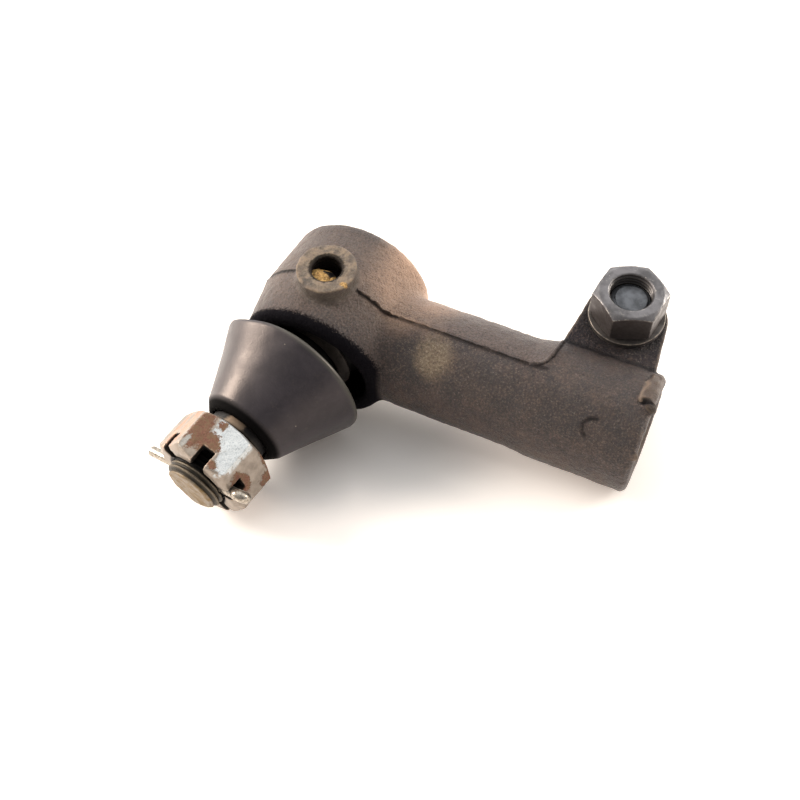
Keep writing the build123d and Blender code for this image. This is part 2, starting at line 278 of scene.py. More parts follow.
class Paint:
    """One procedural material: small helpers that add nodes and return their output sockets."""

    def __init__(self, name):
        self.material = bpy.data.materials.new(name)
        self.material.use_nodes = True
        self.tree = self.material.node_tree
        self.shader = self.tree.nodes["Principled BSDF"]
        coordinates = self.node("ShaderNodeTexCoord")
        scale = self.node("ShaderNodeVectorMath", operation="SCALE")
        self.tree.links.new(coordinates.outputs["Object"], scale.inputs[0])
        scale.inputs["Scale"].default_value = 1 / MM
        self.place = scale.outputs[0]

    def node(self, kind, **settings):
        node = self.tree.nodes.new(kind)
        for key, value in settings.items():
            setattr(node, key, value)
        return node

    def feed(self, socket, value):
        if isinstance(value, bpy.types.NodeSocket):
            self.tree.links.new(value, socket)
        else:
            socket.default_value = value

    def noise(self, size, detail=4.0, rough=0.6, warp=0.0):
        n = self.node("ShaderNodeTexNoise")
        self.feed(n.inputs["Vector"], self.place)
        n.inputs["Scale"].default_value = 1 / size
        n.inputs["Detail"].default_value = detail
        n.inputs["Roughness"].default_value = rough
        n.inputs["Distortion"].default_value = warp
        return n.outputs["Fac"]

    def cells(self, size):
        n = self.node("ShaderNodeTexVoronoi", feature="F1")
        self.feed(n.inputs["Vector"], self.place)
        n.inputs["Scale"].default_value = 1 / size
        return n.outputs["Distance"]

    def span(self, value, low, high, to_low=0.0, to_high=1.0):
        """A smooth step from one number to another; low may be the larger."""
        n = self.node("ShaderNodeMapRange", interpolation_type="SMOOTHSTEP")
        self.feed(n.inputs["Value"], value)
        for key, number in (("From Min", low), ("From Max", high), ("To Min", to_low), ("To Max", to_high)):
            n.inputs[key].default_value = number
        return n.outputs["Result"]

    def math(self, operation, a, b=0.0):
        n = self.node("ShaderNodeMath", operation=operation)
        self.feed(n.inputs[0], a)
        self.feed(n.inputs[1], b)
        return n.outputs[0]

    def times(self, a, b):
        return self.math("MULTIPLY", a, b)

    def plus(self, a, b):
        return self.math("ADD", a, b)

    def minus(self, a, b):
        return self.math("SUBTRACT", a, b)

    def mix(self, amount, a, b):
        n = self.node("ShaderNodeMix", data_type="RGBA")
        self.feed(n.inputs[0], amount)
        self.feed(n.inputs[6], a)
        self.feed(n.inputs[7], b)
        return n.outputs[2]

    def tint(self, color, mask, amount, shade):
        """The colour with this amount of a 0-255 shade over it where the mask is 1."""
        return self.mix(self.times(mask, amount), color, linear(*shade))

    def vector(self, operation, a, b=None):
        """The node of one vector sum, its first input a socket and its second a fixed vector."""
        n = self.node("ShaderNodeVectorMath", operation=operation)
        self.tree.links.new(a, n.inputs[0])
        if b is not None:
            n.inputs[1].default_value = tuple(b)
        return n

    def along(self, direction, origin=(0, 0, 0)):
        """How far a point lies along a direction from an origin."""
        shift = self.vector("SUBTRACT", self.place, origin)
        return self.vector("DOT_PRODUCT", shift.outputs[0], direction).outputs["Value"]

    def radius(self, origin, axis):
        """Distance from an axis."""
        shift = self.vector("SUBTRACT", self.place, origin)
        cross = self.vector("CROSS_PRODUCT", shift.outputs[0], axis)
        return self.vector("LENGTH", cross.outputs[0]).outputs["Value"]

    def blob(self, centre, radii, soft=0.3, ragged=0.0, grain=3.0):
        """1 inside an ellipsoid and 0 outside it, with a soft or ragged edge."""
        shift = self.vector("SUBTRACT", self.place, centre)
        shape = self.vector("DIVIDE", shift.outputs[0], radii)
        distance = self.vector("LENGTH", shape.outputs[0]).outputs["Value"]
        if ragged:
            wobble = self.times(self.minus(self.noise(grain, 5, 0.65), 0.5), ragged)
            distance = self.plus(distance, wobble)
        return self.span(distance, 1 + soft, 1 - soft)

    def facing(self, direction):
        """How far the surface faces a direction, from -1 to 1."""
        normal = self.node("ShaderNodeNewGeometry").outputs["Normal"]
        return self.vector("DOT_PRODUCT", normal, direction).outputs["Value"]

    def stored(self, name):
        """A number kept on the mesh, such as convex: how convex the surface is, from -1 to 1."""
        n = self.node("ShaderNodeAttribute", attribute_name=name)
        return n.outputs["Fac"]

    def patch(self, turn, distance, side, reach, half_width, ragged=0.6, grain=1.6):
        """A ragged patch on the castle nut's flat at this turn from the cotter pin."""
        a = radians(turn)
        out = cos(a) * COTTER + sin(a) * ACROSS
        tangent = cos(a) * ACROSS - sin(a) * COTTER
        d = self.math("DIVIDE", self.minus(self.along(STUD, BALL), distance), reach)
        w = self.math("DIVIDE", self.minus(self.along(tangent, BALL), side), half_width)
        size = self.math("SQRT", self.plus(self.times(d, d), self.times(w, w)))
        wobble = self.times(self.minus(self.noise(grain, 10, 0.85), 0.5), ragged * 4.5)
        inside = self.span(self.plus(size, wobble), 1.07, 0.93)
        on_the_flats = self.span(self.along(out, BALL), 11.4, 12.6)
        return self.times(inside, on_the_flats)

    def any_of(self, *masks):
        total = masks[0]
        for mask in masks[1:]:
            total = self.math("MAXIMUM", total, mask)
        return total

    def bump(self, height, depth, before=None):
        """Surface relief of this depth in mm."""
        n = self.node("ShaderNodeBump")
        n.inputs["Strength"].default_value = 1.0
        n.inputs["Distance"].default_value = depth * MM
        self.feed(n.inputs["Height"], height)
        if before:
            self.feed(n.inputs["Normal"], before)
        return n.outputs["Normal"]

    def finish(self, color, rough, metal=0.0, normal=None, specular=0.5):
        self.feed(self.shader.inputs["Base Color"], color)
        self.feed(self.shader.inputs["Roughness"], rough)
        self.feed(self.shader.inputs["Metallic"], metal)
        self.feed(self.shader.inputs["Specular IOR Level"], specular)
        if normal:
            self.feed(self.shader.inputs["Normal"], normal)
        return self.material


def forging():
    """Heat-browned forged steel: bronze with a painted sheen on the crown, soot with painted shade in front,
    a dark finish with painted shade on the clamp's pads, and a painted highlight strip and a painted shade
    band along the shank.
    """
    p = Paint("forged_steel")
    grain = p.noise(0.55, 3, 0.7)
    mottle = p.noise(7.0, 5, 0.65, 0.4)
    dapple = p.noise(0.65, 3, 0.75)
    x = p.along((1, 0, 0))
    y = p.along((0, 1, 0))
    z = p.along((0, 0, 1))
    shank_start = p.span(x, -82, -72)

    color = p.mix(p.span(mottle, 0.36, 0.66), linear(52, 43, 42), linear(74, 60, 54))
    # Bronze tone with a painted sheen on the crown's right side, where the right lamp lights it.
    bronze = p.blob((-76, 13, 12), (14, 15, 20), 0.45, 0.7, 8)
    color = p.mix(bronze, color, linear(204, 164, 134))
    color = p.tint(color, p.blob((-70, -8, 11), (8, 8, 9), 0.5), 0.4, (36, 31, 33))
    # Painted highlight: a lighter strip along the shank's upper far side, which faces the light.
    painted_highlight_strip = p.times(p.span(y, 0.1, 1.2), p.span(z, 3, 9))
    shank_only = p.times(p.span(x, BARREL_X, BARREL_X - 2), shank_start)
    color = p.tint(color, p.times(painted_highlight_strip, shank_only), 0.55, (112, 98, 92))
    # The clamp's ears are painted dark: partly their own dark oxide, partly painted shade from the nut and
    # washer.
    pad_oxide_and_shade = p.times(p.span(y, PAD_Y - 2.1, PAD_Y - 0.5), p.span(x, -35, -33))
    color = p.tint(color, pad_oxide_and_shade, 0.9, (36, 30, 35))
    color = p.tint(color, p.blob((BALL_X, 4, 6), (27, 20, 27), 0.2), 0.5, (116, 100, 90))
    # Painted shade: a dark band along the shank and barrel where they face up and to the front.
    painted_shade_band = p.times(p.span(p.facing((0, -0.64, 0.77)), 0.86, 0.99), p.span(x, -80, -70))
    color = p.tint(color, painted_shade_band, 0.36, (28, 22, 21))

    color = p.mix(p.span(dapple, 0.54, 0.4, 0.0, 0.28), color, linear(24, 20, 20))
    color = p.mix(p.span(dapple, 0.5, 0.64, 0.0, 0.2), color, linear(138, 114, 96))
    stain = p.blob((-61.5, -7.4, 13.9), (5.2, 5.6, 6.4), 0.45, 0.9, 3)
    stain = p.times(stain, p.plus(0.34, p.times(p.span(grain, 0.46, 0.62), 0.3)))
    color = p.mix(stain, color, linear(150, 130, 102))
    specks = p.times(p.span(grain, 0.56, 0.74), p.span(z, -6, 6))
    color = p.tint(color, specks, 0.42, (150, 136, 124))
    color = p.tint(color, p.span(grain, 0.44, 0.32), 0.62, (22, 18, 19))
    color = p.tint(color, p.stored("tan"), 0.62, (94, 78, 66))

    boss_wall = p.span(p.radius(BALL, UP), BOSS_WALL_R + 1.0, BOSS_WALL_R + 0.2)
    color = p.tint(color, p.times(boss_wall, p.span(z, 22.6, 24.2)), 0.55, (84, 76, 66))
    boss_rim = p.times(p.span(z, 27.0, 27.8), p.span(p.noise(2.4, 5, 0.7), 0.34, 0.62))
    color = p.tint(color, boss_rim, 0.62, (164, 142, 116))
    # Darker in the hollows, by how concave the surface is.
    color = p.tint(color, p.span(p.stored("convex"), -0.12, -0.5), 0.75, (18, 15, 15))
    color = p.tint(color, p.span(p.stored("convex"), 0.3, 0.8), 0.3, (160, 136, 112))
    shade = p.times(p.stored("shade"), 0.92)
    color = p.mix(shade, color, linear(15, 12, 12))
    dab = p.blob((-90.9, -3.4, 27.6), (1.2, 0.8, 1.2), 0.3, 1.2, 0.8)
    ochre = p.mix(p.span(grain, 0.35, 0.6), linear(128, 92, 44), linear(206, 164, 96))
    color = p.mix(p.any_of(p.stored("grease"), dab), color, ochre)
    # A light line on the trimmed ledge: wear and a painted highlight.
    color = p.tint(color, p.stored("light"), 0.5, (186, 160, 138))

    # Black soot and painted shade over the head's front, which the boot shades; it is also made rough, dull
    # and less metallic there.
    ragged_y = p.plus(y, p.times(p.minus(grain, 0.5), 4.0))
    soot_and_shade = p.times(p.span(ragged_y, -13.0, -14.6), p.span(x, -74.0, -77.0))
    color = p.mix(soot_and_shade, color, linear(17, 15, 19))
    rough = p.plus(p.span(mottle, 0.3, 0.7, 0.36, 0.48), p.times(soot_and_shade, 0.4))
    dull = p.any_of(soot_and_shade, p.times(pad_oxide_and_shade, 0.6), p.times(shade, 0.8))
    gloss = p.minus(0.6, p.times(dull, 0.55))
    metal = p.minus(0.3, p.times(soot_and_shade, 0.3))
    relief = p.bump(p.plus(grain, p.times(p.noise(1.5, 3), 0.8)), 0.6)
    return p.finish(color, rough, metal, relief, gloss)


def machined_dark(name, base, light, bore_axis=None):
    """Dark machined steel, worn light at its edges and darker in its hollows; a nut's sides are browner and
    darker with painted shade, and its bore is painted dark brown as shade.
    """
    p = Paint(name)
    scuff_size = 1.4
    cloud = p.noise(scuff_size * 3, 5, 0.6, 0.3)
    grain = p.noise(0.35, 3, 0.7)
    color = p.mix(p.span(cloud, 0.35, 0.7), linear(*base), linear(*(0.72 * v for v in base)))
    scuff = p.times(p.span(p.noise(scuff_size, 6, 0.7, 1.2), 0.6, 0.72), 0.55)
    color = p.mix(scuff, color, linear(*light))
    worn = p.span(p.plus(p.stored("convex"), p.times(p.noise(1.1, 5, 0.75), 1.6)), 1.06, 1.4)
    color = p.mix(p.times(worn, 0.75), color, linear(*light))
    # Darker in the hollows, by how concave the surface is.
    darker_hollows = p.span(p.stored("convex"), -0.15, -0.6)
    color = p.tint(color, darker_hollows, 0.8, (16, 14, 13))
    if bore_axis is not None:
        # Painted shade: a nut's sides are browner and darker than its top.
        sides = p.span(p.math("ABSOLUTE", p.facing((0, 0, 1))), 0.75, 0.45)
        color = p.tint(color, sides, 0.7, (70, 60, 55))
        # Painted shade, dark brown, down a nut's bore.
        bore = p.span(p.radius(bore_axis, UP), 6.55, 6.15)
        color = p.tint(color, bore, 0.75, (34, 29, 28))
    rough = p.span(cloud, 0.3, 0.7, 0.3, 0.5)
    return p.finish(color, rough, 0.6, p.bump(grain, 0.03))


def rubber():
    """Worn black rubber with dust on it, painted black with shade at the neck, and dull at the neck and away
    from the light.
    """
    p = Paint("boot_rubber")
    cloud = p.noise(9, 5, 0.6, 0.6)
    fine = p.noise(0.5, 3, 0.6)
    color = p.mix(p.span(cloud, 0.35, 0.7), linear(52, 49, 53), linear(62, 58, 62))
    dust = p.times(p.span(p.noise(2.4, 6, 0.75), 0.56, 0.76), 0.35)
    color = p.mix(dust, color, linear(86, 78, 72))
    specks = p.times(p.span(p.cells(2.6), 0.09, 0.05), p.span(p.noise(7, 2), 0.52, 0.62))
    color = p.tint(color, specks, 0.6, (160, 150, 134))
    lip = p.span(p.along(STUD, BALL), 22.6, 21.2)
    color = p.tint(color, lip, 0.45, (92, 92, 80))
    # Painted shade: the boot's small end, which faces away from the light, is painted black.
    neck = p.span(p.along(STUD, BALL), 43.2, 44.8)
    color = p.mix(neck, color, linear(9, 9, 10))
    scuffs = p.noise(2.0, 6, 0.75, 0.6)
    scuffed = p.span(p.mix(0.35, cloud, scuffs), 0.38, 0.62, 0.34, 0.45)
    rough = p.plus(scuffed, p.times(neck, 0.4))
    p.shader.inputs["Specular Tint"].default_value = (1.0, 0.84, 0.74, 1.0)
    away = p.span(p.facing((0.64, -0.53, 0.55)), 0.7, 0.97, 0.0, 0.4)
    gloss = p.minus(0.64, p.math("MAXIMUM", p.times(neck, 0.58), away))
    return p.finish(color, rough, 0.0, p.bump(p.plus(fine, scuffs), 0.035), gloss)


def zinc_and_rust():
    """Flaking zinc over rust, patch by patch: each patch is placed on a flat by its turn from the pin."""
    p = Paint("castle_zinc")
    fine = p.noise(0.4, 4, 0.7)
    streaks = p.noise(1.2, 5, 0.7, 0.8)
    color = p.mix(p.span(p.noise(4, 4), 0.35, 0.65), linear(138, 126, 114), linear(164, 151, 138))
    # Painted warm highlight: a peach tint on the flat that faces the left lamp.
    left = p.any_of(p.patch(120, 55, -3.4, 8, 2.4, 0.5), p.patch(120, 57, 3.0, 7, 1.6, 0.5))
    color = p.tint(color, left, 0.42, (196, 132, 92))
    plate = p.any_of(p.patch(60, 52.5, -3.4, 5.4, 6.6, 0.6), p.patch(60, 58.5, -6.0, 4.6, 2.9, 0.6))
    color = p.mix(plate, color, p.mix(p.span(fine, 0.3, 0.6), linear(178, 184, 186), linear(216, 218, 217)))
    rust = p.any_of(
        p.patch(60, 56.0, 5.6, 6.6, 2.6, 0.6),
        p.patch(60, 57.8, 1.2, 3.4, 3.4, 0.6),
        p.patch(60, 51.3, 1.3, 1.4, 1.2, 1.0, 1.0),
        p.patch(60, 62.0, -3.4, 1.2, 1.6, 0.8),
        p.patch(0, 59.6, 0.3, 3.0, 4.4, 0.5),
        p.patch(0, 51.6, -6.2, 2.8, 2.0, 0.9),
        p.patch(0, 49.9, -1.5, 0.9, 4.6, 0.9),
        p.patch(180, 57.0, 2.0, 4.6, 5.0, 0.7),
        p.patch(240, 53.0, -3.0, 3.4, 4.6, 0.8),
        p.patch(240, 60.0, 2.0, 3.0, 4.0, 0.6),
        p.patch(300, 57.0, 1.0, 5.4, 3.6, 0.7),
    )
    streak = p.patch(60, 61.0, 6.7, 2.4, 0.8, 1.0, 0.8)
    rust = p.times(rust, p.minus(1.0, streak))
    cavity = p.times(p.span(p.stored("convex"), -0.1, -0.45), p.span(streaks, 0.35, 0.5))
    rust = p.any_of(rust, cavity)
    rust_color = p.mix(p.span(fine, 0.3, 0.7), linear(96, 58, 42), linear(136, 94, 74))
    rust_color = p.mix(p.span(streaks, 0.4, 0.62), rust_color, linear(118, 92, 66))
    color = p.mix(rust, color, rust_color)
    color = p.mix(p.times(streak, p.span(fine, 0.3, 0.6)), color, linear(178, 176, 170))
    worn = p.times(p.span(p.stored("convex"), 0.25, 0.7), 0.65)
    color = p.mix(worn, color, linear(220, 196, 172))
    # Painted shade, near black, in the nut's bore and on its slots' walls.
    inside = p.any_of(p.span(p.radius(BALL, STUD), 10.2, 9.6), p.stored("slot"))
    color = p.mix(inside, color, linear(12, 9, 8))
    rough = p.plus(p.times(rust, 0.35), 0.4)
    metal = p.minus(0.45, p.times(rust, 0.4))
    return p.finish(color, rough, metal, p.bump(p.plus(fine, p.times(rust, -0.8)), 0.06))


def rusty_steel(name, clean, brown):
    """Dull steel with brown clouds."""
    p = Paint(name)
    cloud = p.noise(3.0, 6, 0.65, 0.4)
    fine = p.noise(0.4, 4, 0.7)
    color = p.mix(p.span(cloud, 0.48, 0.7), linear(*clean), linear(*brown))
    color = p.mix(p.times(p.span(fine, 0.5, 0.3), 0.4), color, linear(40, 30, 22))
    # Darker in the hollows, by how concave the surface is.
    darker_hollows = p.span(p.stored("convex"), -0.1, -0.5)
    color = p.tint(color, darker_hollows, 0.8, (24, 20, 15))
    worn = p.times(p.span(p.stored("convex"), 0.25, 0.7), 0.5)
    color = p.mix(worn, color, linear(*(min(255, 1.35 * v) for v in clean)))
    return p.finish(color, p.span(cloud, 0.3, 0.7, 0.38, 0.62), 0.6, p.bump(fine, 0.04))


def stud_steel():
    """Greased steel: a tan end face, brown threads, painted shade with a painted glint on the taper, and
    painted shade, black, where the nut hides it.
    """
    p = Paint("stud_steel")
    along = p.along(STUD, BALL)
    cloud = p.noise(2.4, 6, 0.65, 0.4)
    fine = p.noise(0.4, 4, 0.7)
    color = p.mix(p.span(cloud, 0.35, 0.65), linear(62, 56, 46), linear(88, 78, 62))
    face = p.span(along, 66.9, 67.6)
    tan = p.mix(p.span(cloud, 0.35, 0.62), linear(130, 118, 102), linear(124, 102, 68))
    color = p.mix(face, color, tan)
    groove = p.span(p.stored("groove"), 0.15, 0.75)
    color = p.tint(color, groove, 0.7, (22, 19, 15))
    # Painted shade on the stud's taper, between the boot and the nut.
    taper = p.span(along, 49.0, 47.0)
    color = p.mix(taper, color, linear(24, 21, 20))
    # A painted glint of light on the shaded taper.
    painted_glint = p.blob(BALL + 47.0 * STUD + 9.4 * (0.17 * SIDE + 0.98 * UP), (3.4, 2.2, 1.6), 0.3, 0.9, 1.2)
    color = p.tint(color, painted_glint, 0.8, (150, 128, 106))
    worn = p.times(p.span(p.stored("convex"), 0.25, 0.7), p.span(fine, 0.35, 0.7, 0.1, 0.55))
    color = p.mix(worn, color, linear(150, 136, 116))
    # Painted shade, near black, on the stud's thread inside the nut.
    shaded_under_nut = p.times(p.span(along, 64.6, 63.8), p.span(along, 47.5, 48.5))
    color = p.tint(color, shaded_under_nut, 0.96, (8, 7, 7))
    gloss = p.minus(0.5, p.times(shaded_under_nut, 0.45))
    metal = p.minus(0.55, p.times(shaded_under_nut, 0.5))
    return p.finish(color, p.span(cloud, 0.3, 0.7, 0.4, 0.58), metal, p.bump(fine, 0.08), gloss)


def bright_wire():
    """Bright drawn wire, darker in its hollows."""
    p = Paint("cotter_wire")
    streak = p.noise(0.8, 4, 0.6, 0.5)
    color = p.mix(p.span(streak, 0.4, 0.7), linear(186, 176, 162), linear(116, 106, 94))
    # Darker in the hollows, by how concave the surface is.
    darker_hollows = p.span(p.stored("convex"), -0.05, -0.4)
    color = p.tint(color, darker_hollows, 0.8, (48, 40, 34))
    return p.finish(color, p.span(streak, 0.35, 0.7, 0.26, 0.38), 0.85)


FORGING = forging()
RUBBER = rubber()
CASTLE = zinc_and_rust()
STUD_STEEL = stud_steel()
WASHER_STEEL = rusty_steel("dust_washer_steel", (58, 52, 48), (40, 34, 30))
COVER_STEEL = machined_dark("cover_steel", (62, 56, 54), (120, 108, 98))
NUT_STEEL = machined_dark("nut_steel", (122, 119, 120), (206, 198, 188), BOLT_FOOT)
BOLT_STEEL = machined_dark("bolt_steel", (112, 114, 118), (132, 134, 138))
CLAMP_WASHER = machined_dark("washer_steel", (104, 98, 94), (170, 156, 140))
SEAT_STEEL = rusty_steel("seat_steel", (34, 31, 32), (22, 20, 20))
SPRING_STEEL = machined_dark("spring_steel", (70, 76, 90), (150, 150, 156))
WIRE = bright_wire()


# ---------------------------------------------------------------- housing


def distance_to(points, place):
    """How far each point is from one place."""
    return np.linalg.norm(points - np.array(place), axis=1)


def forged_amount(x, y, z):
    """1 on rough forging, less on ground flats, and 0 in every bore, the socket and the slit."""
    from_ball = np.hypot(x - BALL_X, z)
    rod_bore = (np.hypot(y, z) < 11.5) & (x > -72) & (x < -0.7)
    socket = (from_ball < 19.9) & (y > -17) & (y < 23.2)
    rim_hole = (from_ball < 16.6) & (y > 15)
    grease_hole = (np.hypot(x - BALL_X, y) < 5.6) & (z > 12)
    bolt_hole = (np.hypot(x - BOLT_X, y - BOLT_Y) < 8) & (np.abs(z) < 13)
    slit = (np.abs(z) < 2.6) & (y > 8) & (x > -40)
    front_face = (y < HEAD_FRONT) & (from_ball < 22.5)
    back_face = (y > HEAD_BACK) & (from_ball < 21)
    flat = on_pads(y, z) | front_face | back_face
    return ~(rod_bore | socket | rim_hole | grease_hole | bolt_hole | slit) * np.where(flat, 0.3, 1.0)


def on_pads(y, z):
    """The outer faces of the two clamp ears."""
    return (np.abs(np.abs(z) - PAD_Z) < 0.5) & (y > PAD_Y)


def punch_mark(points):
    """1 along an open ring punched in the side of the barrel, which stands for a forge's mark."""
    x, y, z = points.T
    along = x + 12.9
    round_barrel = BARREL_R * np.arctan2(-y, z) - 12.4
    ring = np.hypot(along, round_barrel)
    turn = np.degrees(np.arctan2(round_barrel, along))
    open_side = ease(np.abs((turn - 20 + 180) % 360 - 180), 84, 104)
    line = ease(np.abs(ring - 2.9 + 0.25 * noise(points, 1.2, 9)), 0.85, 0.25)
    return line * open_side * (z > 0) * (y < 0)


def trimmed_end(points):
    """Where the barrel's end was trimmed: the raised slab, the lit ledge beside it, and its crack."""
    x, y, z = points.T
    on_end = (z > 8) * (np.hypot(y, z) > 14)
    ragged = 0.5 * noise(points, 1.6, 5)
    slab = ease(x, -4.0 + ragged, -3.5 + ragged) * ease(y, -0.6 + ragged, 0.4 + ragged) * ease(y, 12.0, 10.8)
    ledge = ease(np.abs(x + 4.1 - ragged), 0.8, 0.2) * (y > -0.5) * (y < 12)
    crack = np.linalg.norm((points - np.array([-2.4, -0.2, 17.3])) * (0.45, 1.0, 1.0), axis=1)
    return slab * on_end, ledge * on_end, ease(crack, 1.2, 0.5)


def cut_threads(worked, x, y, z, normals, away):
    """Cuts thread grooves into the walls of the rod bore and the grease hole."""
    along, radius, angle = around(worked, np.zeros(3), np.array([1.0, 0, 0]), UP)
    in_bore = (radius < ROD_BORE_R) * ease(along, -60, -58) * (along < -1.2) * (np.abs(normals[:, 0]) < 0.7)
    worked = worked + away * (thread(along, angle, ROD_PITCH, ROD_THREAD_DEPTH) * in_bore)[:, None]
    from_axis = np.hypot(x - BALL_X, y)
    on_wall = (from_axis < GREASE_R) & (z > 20.6) & (z < 27.0) & (np.abs(normals[:, 2]) < 0.7)
    grooves = thread(z, np.arctan2(y, x - BALL_X), GREASE_PITCH, GREASE_THREAD_DEPTH)
    out = np.stack([x - BALL_X, y, 0 * z], axis=1) / np.maximum(from_axis, 1)[:, None]
    return worked + out * (grooves * on_wall)[:, None]


def forge(points, normals):
    """Works the forging's outside: forging skin, trimmed end, punch mark. Bores stay smooth."""
    x, y, z = points.T
    from_boss = np.hypot(x - BALL_X, y)
    from_shank = np.hypot(y, z)
    from_bolt = np.hypot(x - BOLT_X, y - BOLT_Y)
    amount = forged_amount(x, y, z)
    skin_lift = 0.09 * noise(points, 1.5, 1, 2) + 0.1 * noise(points, 5, 2, 2) + 0.14 * noise(points, 14, 3)
    lift = amount * skin_lift + 0.12 * (amount > 0) * ease(x, -76, -70)
    on_boss = ease(z, 22.0, 24.0) * ease(from_boss, 4.6, 5.4)
    lift += on_boss * (0.1 * noise(points, 0.9, 7, 2) + 0.12 * noise(points, 2.4, 71))

    mark = punch_mark(points)
    slab, ledge, crack = trimmed_end(points)
    blob = ease(distance_to(points, [-0.9, -1.3, 16.7]), 2.2, 0.7)
    from_bead = distance_to(points, [-0.6, -13.6, 10.4])
    lift += 1.2 * blob + 0.3 * ease(from_bead, 1.7, 0.5) - 0.35 * mark - 0.5 * crack
    end_face = ease(x, -1.4, -0.3) * (from_shank > 12.5)
    lift -= end_face * (0.1 + 0.12 * noise(points, 2.6, 8, 2))

    away = np.stack([0 * y, y, z], axis=1) / np.maximum(from_shank, 1)[:, None]
    slab_lift = slab * (0.75 + 0.3 * noise(points, 1.8, 6))
    worked = points + normals * lift[:, None] + away * slab_lift[:, None]
    worked += np.outer(ease(from_bead, 2.2, 0.4), (1.3, 0, 0))
    worked = cut_threads(worked, x, y, z, normals, away)

    # Painted shade, kept as shade: beside the flash, in the grease pocket and the socket's mouth, in the
    # crease before the ear, under the washer, in the punch mark and the crack; the lump is darkened with it
    # too.
    seam = ease(np.abs(y + 0.55), 0.75, 0.3) * (z > 14) * ease(x, -29.6, -30.6) * (from_boss > BOSS_WALL_R)
    seam = seam * np.where(x > -76, 0.75, 1.0)
    pocket = 0.9 * (from_boss < 5.2) * (z > 19)
    mouth = 1.0 * (np.hypot(x - BALL_X, z) < 18.6) * (y < -3)
    crease = 0.8 * ease(np.abs(y - PAD_Y + 0.1), 1.3, 0.3) * (z > 10.8) * (z < 13) * (x > -31)
    under_washer = 0.6 * ease(from_bolt, 15.5, 11.2) * on_pads(y, z) * (z > 0)
    shade = np.maximum.reduce([seam, pocket, mouth, crease, under_washer, 0.5 * mark, crack, 0.75 * blob])
    slab_face = slab * (1 - 0.8 * crack) * (1 - blob)
    return worked, {"shade": shade, "tan": slab_face, "light": ledge * (y < 7) * 0.9}


skin("housing", 0.42, 5, "housing", "forging", FORGING, forge, 0.25)


FLASH_STEP = 0.3


def flash(name, path, outward, width, height, ragged, seed, shaded_side=(0, -1, 0)):
    """A forging's parting flash: a low rough rib along a path, with its foot in the surface and painted shade
    along one side.
    """
    path = np.array(path, float)
    outward = np.array(outward, float)
    steps = np.r_[0, np.cumsum(np.linalg.norm(np.diff(path, axis=0), axis=1))]
    count = max(8, int(steps[-1] / FLASH_STEP))
    at = np.linspace(0, steps[-1], count)
    spine = np.stack([np.interp(at, steps, path[:, i]) for i in range(3)], axis=1)
    normal = np.stack([np.interp(at, steps, outward[:, i]) for i in range(3)], axis=1)
    normal /= np.linalg.norm(normal, axis=1)[:, None]
    forward = np.gradient(spine, axis=0)
    forward /= np.linalg.norm(forward, axis=1)[:, None]
    across = np.cross(forward, normal)
    taper = np.minimum(1, np.minimum(at, steps[-1] - at) / 1.2)
    wander = ragged * width * 0.45 * noise(spine, 2.6, seed, 2)
    tall = height * (1 + ragged * 0.8 * noise(spine, 1.1, seed + 1, 2)).clip(0.15) * taper
    wide = width * (1 + 0.35 * ragged * noise(spine, 1.7, seed + 2)).clip(0.3)
    section = [(-0.62, -0.45), (-0.5, 0.1), (-0.3, 0.75), (-0.05, 1.0)]
    section += [(0.22, 0.82), (0.48, 0.15), (0.62, -0.45)]
    rows = []
    for i in range(count):
        centre = spine[i] + across[i] * wander[i]
        row = []
        for side, up in section:
            lift = up * tall[i] if up > 0 else up
            row.append(centre + across[i] * side * wide[i] + normal[i] * lift)
        rows.append(row)
    rings = np.array(rows)
    mesh = grid_mesh(name, rings, False, True, FORGING)
    keep(mesh, "convex", np.zeros(len(mesh.vertices)))
    # Painted shade on the rib's side that faces the given direction.
    near = (rings - spine[:, None, :]) @ np.array(shaded_side, float) / width
    keep(mesh, "shade", 0.9 * ease(near, 0.12, 0.35).ravel())
    return new_object(name, mesh, "housing", "forging")


def grease():
    """Dried grease standing in the near half of the grease hole, with a clear spot in it painted dark as
    shade.
    """
    middle_x = BALL_X - 0.7
    middle_y = -1.5
    rim_z = 25.6
    turns = np.linspace(0, 2 * pi, 48, endpoint=False)
    rows = []
    for reach in np.linspace(0.02, 1, 14):
        across = middle_x + 4.0 * reach * np.cos(turns)
        deep = middle_y + 2.7 * reach * np.sin(turns)
        ring = np.stack([across, deep, 0 * turns], axis=1)
        ring[:, 2] = rim_z + 1.0 * (1 - reach**2) - 0.25 * (ring[:, 1] - middle_y)
        ring[:, 2] += 0.5 * noise(ring, 1.1, 61, 2)
        rows.append(ring)
    rows.append(rows[-1] - np.array([0, 0, 2.5]))
    rings = np.array(rows)
    mesh = grid_mesh("dried_grease", rings, False, True, FORGING)
    spots = rings.reshape(-1, 3)
    clear = np.hypot(spots[:, 0] - BALL_X - 1.1, 1.3 * (spots[:, 1] + 0.2))
    clear += 0.7 * noise(spots, 1.3, 63, 2)
    crust = ease(clear, 1.3, 1.9)
    keep(mesh, "grease", crust)
    # Painted shade where the hole shows through the grease.
    keep(mesh, "shade", 1 - crust)
    return new_object("dried_grease", mesh, "housing", "forging")


grease()


def head_arc(low, high, count=14, radius=HEAD_R, side=1):
    """Points on the head's waist between two angles from +X, at the top or the underside."""
    turns = np.radians(np.linspace(low, high, count))
    ring = np.stack([np.cos(turns), 0 * turns, side * np.sin(turns)], axis=1)
    return BALL + radius * ring, ring


arc, arc_out = head_arc(69, 45)
arc_end = [[-79.9, 0, 17.0], [-77.6, 0, 16.35]]
flash("flash_boss", [*arc, *arc_end], [*arc_out, [0.4, 0, 0.9], [0.2, 0, 1]], 0.85, 0.6, 1.3, 11)

